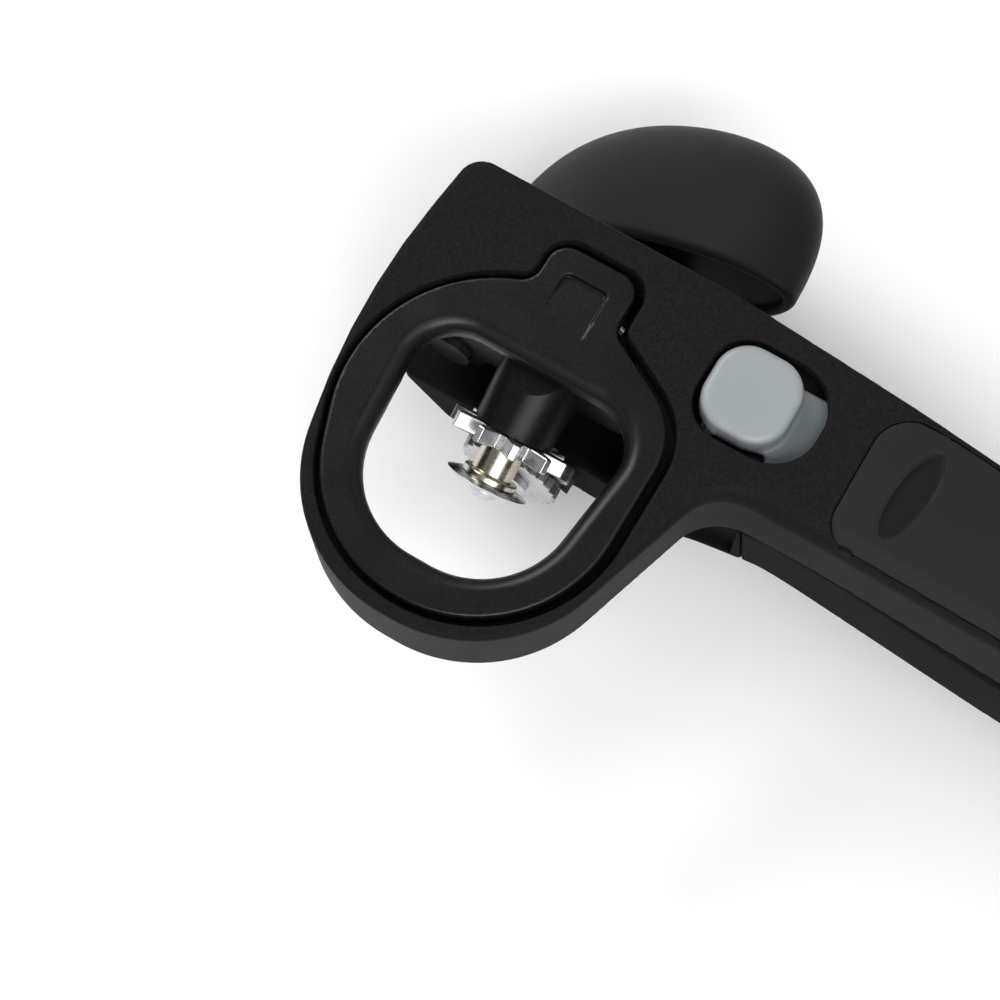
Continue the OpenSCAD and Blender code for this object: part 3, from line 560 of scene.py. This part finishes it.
def lower_field(x, y, z):
    outer = low_outer(x, y, z)
    f = minus(outer, np.maximum(grip_front(x, z), -(outer + LOW_GRIP_DEPTH)), 0.3)
    f = minus(f, low_inside(x, y, z), 0.5)
    housing = both(box_field(x, y, z, -30, 24, 8.0, 25.0, -18.6, 30), low_side(x, z) + WALL, 0.8)
    f = minus(f, housing)
    f = either(f, both(np.hypot(x, z - DRIVE_Z) - BOSS_R, between(y, *BOSS_Y), 0.4), 0.4)
    knuckle = both(np.hypot(x - HINGE_X, z - HINGE_Z) - KNUCKLE_R, between(y, *KNUCKLE_Y), 0.5)
    web = both(web_side(x, z), between(y, *KNUCKLE_Y), 0.4)
    inner = both(either(knuckle, web, 0.5), -box_field(x, y, z, -11.2, 20, 16.1, 24.5, -8.8, 30))
    f = either(f, inner, 0.5)
    f = either(f, box_field(x, y, z, 26.8, 31.0, 12.0, 26.4, -12, 1.8), 0.4)
    f = minus(f, np.hypot(x, z - DRIVE_Z) - DRIVE_BUSH_BORE)
    f = minus(f, np.hypot(x - HINGE_X, z - HINGE_Z) - HINGE_BUSH_BORE)
    f = minus(f, box_field(x, y, z, 27.5, 37.3, -5, 7.0, -11.8, 5), 0.5)
    for y_at in STRIKE_SCREWS_Y:
        f = minus(f, np.maximum(np.hypot(y - y_at, z - STRIKE_SCREWS_Z) - SCREW_BORE, between(x, 22.6, 30.0)))
    return f


def lower_grip_field(x, y, z):
    outer = low_outer(x, y, z)
    f = both(outer, grip_front(x, z) + 0.05, 0.8)
    f = minus(f, outer + (LOW_GRIP_DEPTH + 0.02))
    return minus(f, low_inside(x, y, z), 0.5)


def button_field(x, y, z):
    plan = button_plan(x, y)
    dish = np.hypot(np.hypot(x - DISH_X, y - DISH_Y), z - (BUTTON_TOP + DISH_UP)) - DISH_R
    cap = both(plan, z - BUTTON_TOP, 1.6)
    cap = minus(cap, dish, 1.5)
    cap = np.maximum(cap, BASE_Z + BASE_T - 0.3 - z)
    base = both(base_plan(x, y), between(z, BASE_Z, BASE_Z + BASE_T), 0.4)
    f = either(cap, base, 0.8)
    return minus(f, np.maximum(np.hypot(x - LOCK_X, y - LOCK_Y) - SCREW_BORE, z - (BASE_Z + 4)))


def tooth_outline(first, tip=9.9, pitch=8.5, root=6.1, teeth=10):
    """Ten blunt, straight-sided teeth, with the middle of the first at an angle in degrees."""
    points = []
    for i in range(teeth):
        a = math.radians(first) + 2 * math.pi * i / teeth
        for r, half in ((root, -1.4), (pitch, -0.92), (tip, -0.58), (tip, 0.58), (pitch, 0.92), (root, 1.4)):
            points.append((r * math.cos(a) - half * math.sin(a), r * math.sin(a) + half * math.cos(a)))
    return Outline(np.array(points), 1.0, 0.05)


def wheel_field(outline, thick, bore, edge):
    def field(x, y, z):
        return minus(both(outline(x, y), between(z, 0, thick), edge), np.hypot(x, y) - bore, 0.15)
    return field


def on_cutter_axis(s):
    return (Matrix.Translation((0, DISC_Y * MM, DISC_Z * MM))
            @ Matrix.Rotation(math.radians(TILT - 90), 4, "X") @ Matrix.Translation((0, 0, s * MM)))


def on_drive_axis(y):
    return Matrix.Translation((0, y * MM, DRIVE_Z * MM)) @ Matrix.Rotation(math.radians(-90), 4, "X")


def around(node, margin=0.8):
    low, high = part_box(node)
    return [v / MM - margin for v in low], [v / MM + margin for v in high]


coarse = 0.5
solid_piece("head_shell", "upper", mats["shell_plastic"], head_field, *around("head_shell"), coarse)
solid_piece("upper_grip", "upper", mats["grip_soft"], upper_grip_field, *around("upper_grip"), coarse)
solid_piece("catch_lever", "lid_catch", mats["ring_plastic"], ring_field, *around("catch_lever"),
            coarse * 0.8)
solid_piece("lower_handle", "lower", mats["low_plastic"], lower_field, *around("lower_handle"), coarse)
solid_piece("lower_grip", "lower", mats["low_grip"], lower_grip_field, *around("lower_grip"), coarse)
solid_piece("lock_button", "lock", mats["button_plastic"], button_field, *around("lock_button"), 0.35)
wheel_box = ([-10.4, -10.4, -0.6], [10.4, 10.4, 3.6], 0.2)
solid_piece("cutter_gear", "cutter", mats["gear_steel"],
            wheel_field(tooth_outline(108), GEAR_T, AXLE_BORE, 0.25), *wheel_box, on_cutter_axis(GEAR_S))
solid_piece("drive_gear", "drive", mats["gear_steel"],
            wheel_field(tooth_outline(270), DRIVE_GEAR_T, SHAFT_BORE, 0.25), *wheel_box,
            on_drive_axis(DRIVE_GEAR_Y))
notch_angle = np.arange(FEED_NOTCHES * 2) * math.pi / FEED_NOTCHES
notch_r = np.where(np.arange(FEED_NOTCHES * 2) % 2 == 0, FEED_R, FEED_R - NOTCH_DEPTH)
feed_outline = Outline(np.stack([notch_r * np.cos(notch_angle), notch_r * np.sin(notch_angle)], 1), 1.0, 0.05)
solid_piece("feed_wheel", "drive", mats["gear_steel"],
            wheel_field(feed_outline, FEED_T, SHAFT_BORE, 0.2), *wheel_box, on_drive_axis(FEED_Y))

# ---- turned pieces ---------------------------------------------------------------------------------------


def turned(node, body, outline, segments=96):
    """A piece turned about the cutter's axis, from corners (radius, place along the axis, rounding)."""
    profile = rounded(outline)
    count = len(profile)
    angle = 2 * math.pi * np.arange(segments) / segments
    points = np.concatenate([np.stack([r * np.cos(angle), r * np.sin(angle), 0 * angle + h], 1)
                             for r, h in profile])
    quads = []
    for i in range(count):
        for k in range(segments):
            a, b = i * segments, (i + 1) % count * segments
            j = (k + 1) % segments
            quads.append((a + k, a + j, b + j, b + k))
    obj = piece(node + "_form", body, node, mats[slots[node]], points, quads, None, on_cutter_axis(0))
    obj.data.set_sharp_from_angle(angle=math.radians(28))
    return obj


turned("cutting_wheel", "cutter", [(AXLE_BORE, -0.65, 0.05), (DISC_R - 1.3, -0.65, 0.3), (DISC_R, 0, 0.03),
                                   (DISC_R - 1.6, 0.5, 0.3), (AXLE_BORE, 0.5, 0.05)])
turned("cutter_hub", "cutter", [(AXLE_BORE, 0.52, 0.05), (4.6, 0.52, 0.15), (4.6, 1.62, 0.3),
                                (3.4, 1.62, 0.25), (3.4, GEAR_S - 0.02, 0.15),
                                (AXLE_BORE, GEAR_S - 0.02, 0.05)])

# ---- the lock's spring: a coil of wire, built at its rest length -----------------------------------------

low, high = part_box("lock_spring")
turns, wire, coil_r, ring_steps, wire_steps = 7, 0.35, 2.2, 28, 10
steps = turns * ring_steps
start, span = low.x / MM + wire, (high.x - low.x) / MM - 2 * wire
points, quads = [], []
for i in range(steps + 1):
    a = 2 * math.pi * i / ring_steps
    for j in range(wire_steps):
        b = 2 * math.pi * j / wire_steps
        r = coil_r + wire * math.cos(b)
        points.append((start + span * i / steps + wire * math.sin(b),
                       SPRING_Y + r * math.cos(a), SPRING_Z + r * math.sin(a)))
for i in range(steps):
    here, after = i * wire_steps, (i + 1) * wire_steps
    for j in range(wire_steps):
        k = (j + 1) % wire_steps
        quads.append((here + j, here + k, after + k, after + j))
quads.append(tuple(range(wire_steps))[::-1])
quads.append(tuple(steps * wire_steps + j for j in range(wire_steps)))
spring = piece("lock_spring_form", "upper", "lock_spring", mats["spring_steel"], points, quads)
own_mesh(spring)

# ---- knob cover: rings of an oval that close in a soft crown ------------------------------------------

length = KNOB_Y1 - KNOB_Y0
rings = [(KNOB_A - inset, KNOB_B - inset, up) for inset, up in (
    (KNOB_SKIN, KNOB_LAP), (KNOB_SKIN, 0.7), (1.95, 0.2), (1.6, 0.0), (KNOB_EDGE, 0.0))]
for t in np.linspace(0, math.pi / 2, 7)[1:]:
    out = KNOB_EDGE * math.sin(t)
    rings.append((KNOB_A - KNOB_EDGE + out, KNOB_B - KNOB_EDGE + out, KNOB_EDGE - KNOB_EDGE * math.cos(t)))
for q in np.sin(np.linspace(0.05, math.pi / 2, 60))[:-1]:
    if q * length > 1.3:
        g = (1 - q ** KNOB_CROWN) ** (1 / KNOB_CROWN)
        rings.append((KNOB_A * g, KNOB_B * g, q * length))
sides = 144
points, quads = [], []
for a, b, w in rings:
    for k in range(sides):
        t = 2 * math.pi * k / sides
        points.append((a * math.cos(t), b * math.sin(t), w))
for i in range(len(rings) - 1):
    here, after = i * sides, (i + 1) * sides
    for k in range(sides):
        j = (k + 1) % sides
        quads.append((here + k, here + j, after + j, after + k))
points += [(0, 0, KNOB_LAP), (0, 0, length)]
inside, crown, last = len(points) - 2, len(points) - 1, (len(rings) - 1) * sides
for k in range(sides):
    j = (k + 1) % sides
    quads.append((inside, j, k))
    quads.append((crown, last + k, last + j))
place = on_drive_axis(KNOB_Y0) @ Matrix.Rotation(math.radians(-KNOB_TURN), 4, "Z")
piece("knob_grip_form", "drive", "knob_grip", mats["knob_soft"], points, quads, None, place)

# ---- floor, light and camera ---------------------------------------------------------------------------

low, high = cad_box
floor_mesh = bpy.data.meshes.new("floor")
corners = ((-4, -4), (4, -4), (4, 4), (-4, 4))
floor_mesh.from_pydata([(x, y, low.z - 0.0002) for x, y in corners], [], [(0, 1, 2, 3)])
floor = bpy.data.objects.new("floor", floor_mesh)
bpy.context.scene.collection.objects.link(floor)
n = Nodes("pale_floor")
n.set(Base_Color=n.mix(n.noise(6, 3.0), (0.86, 0.86, 0.865), (0.9, 0.9, 0.905)), Roughness=0.7,
      Normal=n.bump(n.noise(900, 2.0), 0.1, 0.0001))
floor_mesh.materials.append(n.mat)

world = bpy.data.worlds.new("studio")
bpy.context.scene.world = world
world.use_nodes = True
sky = world.node_tree
compass = sky.nodes.new("ShaderNodeSeparateXYZ")
sky.links.new(sky.nodes.new("ShaderNodeTexCoord").outputs["Generated"], compass.inputs["Vector"])
dimmer = sky.nodes.new("ShaderNodeMapRange")
dimmer.interpolation_type = "SMOOTHSTEP"
sky.links.new(compass.outputs["Z"], dimmer.inputs["Value"])
for key, value in (("From Min", 0.3), ("From Max", 0.93), ("To Min", 0.5), ("To Max", 0.14)):
    dimmer.inputs[key].default_value = value
sky.links.new(dimmer.outputs["Result"], sky.nodes["Background"].inputs["Strength"])
sky.nodes["Background"].inputs["Color"].default_value = (0.97, 0.98, 1.0, 1.0)


def softbox(name, at, aim, width, height, power, colour=(1, 1, 1)):
    light = bpy.data.lights.new(name, "AREA")
    light.shape = "RECTANGLE"
    light.size, light.size_y = width, height
    light.energy = power
    light.color = colour
    obj = bpy.data.objects.new(name, light)
    obj.location = at
    obj.rotation_euler = (Vector(aim) - Vector(at)).to_track_quat("-Z", "Y").to_euler()
    bpy.context.scene.collection.objects.link(obj)


softbox("front_box", (0.45, -0.65, 0.85), (0.04, 0, 0), 0.9, 0.5, 9.5)
softbox("rear_box", (-0.75, 0.4, 0.75), (0.02, 0, 0), 0.8, 0.5, 9.0)
softbox("fill_box", (0.5, -0.1, 0.9), (0.22, -0.05, 0), 0.8, 0.8, 4.0)

camera = bpy.data.objects.new("camera", bpy.data.cameras.new("camera"))
bpy.context.scene.collection.objects.link(camera)
camera.data.sensor_width = 36.0
camera.data.lens = 77.6
camera.data.clip_start, camera.data.clip_end = 0.01, 20
bearing, elevation, roll = (math.radians(v) for v in (57.3, 73.15, -2.20))
forward = Vector((-math.cos(bearing) * math.cos(elevation), math.sin(bearing) * math.cos(elevation),
                  -math.sin(elevation)))
level = Vector((math.sin(bearing), math.cos(bearing), 0))
upright = level.cross(forward)
right = math.cos(roll) * level + math.sin(roll) * upright
up = -math.sin(roll) * level + math.cos(roll) * upright
turn = Matrix((right, up, -forward)).transposed()
camera.matrix_world = Matrix.Translation((0.0558, -0.0907, 0.3226)) @ turn.to_4x4()
bpy.context.scene.camera = camera
bpy.context.scene.view_settings.view_transform = "Standard"

import json
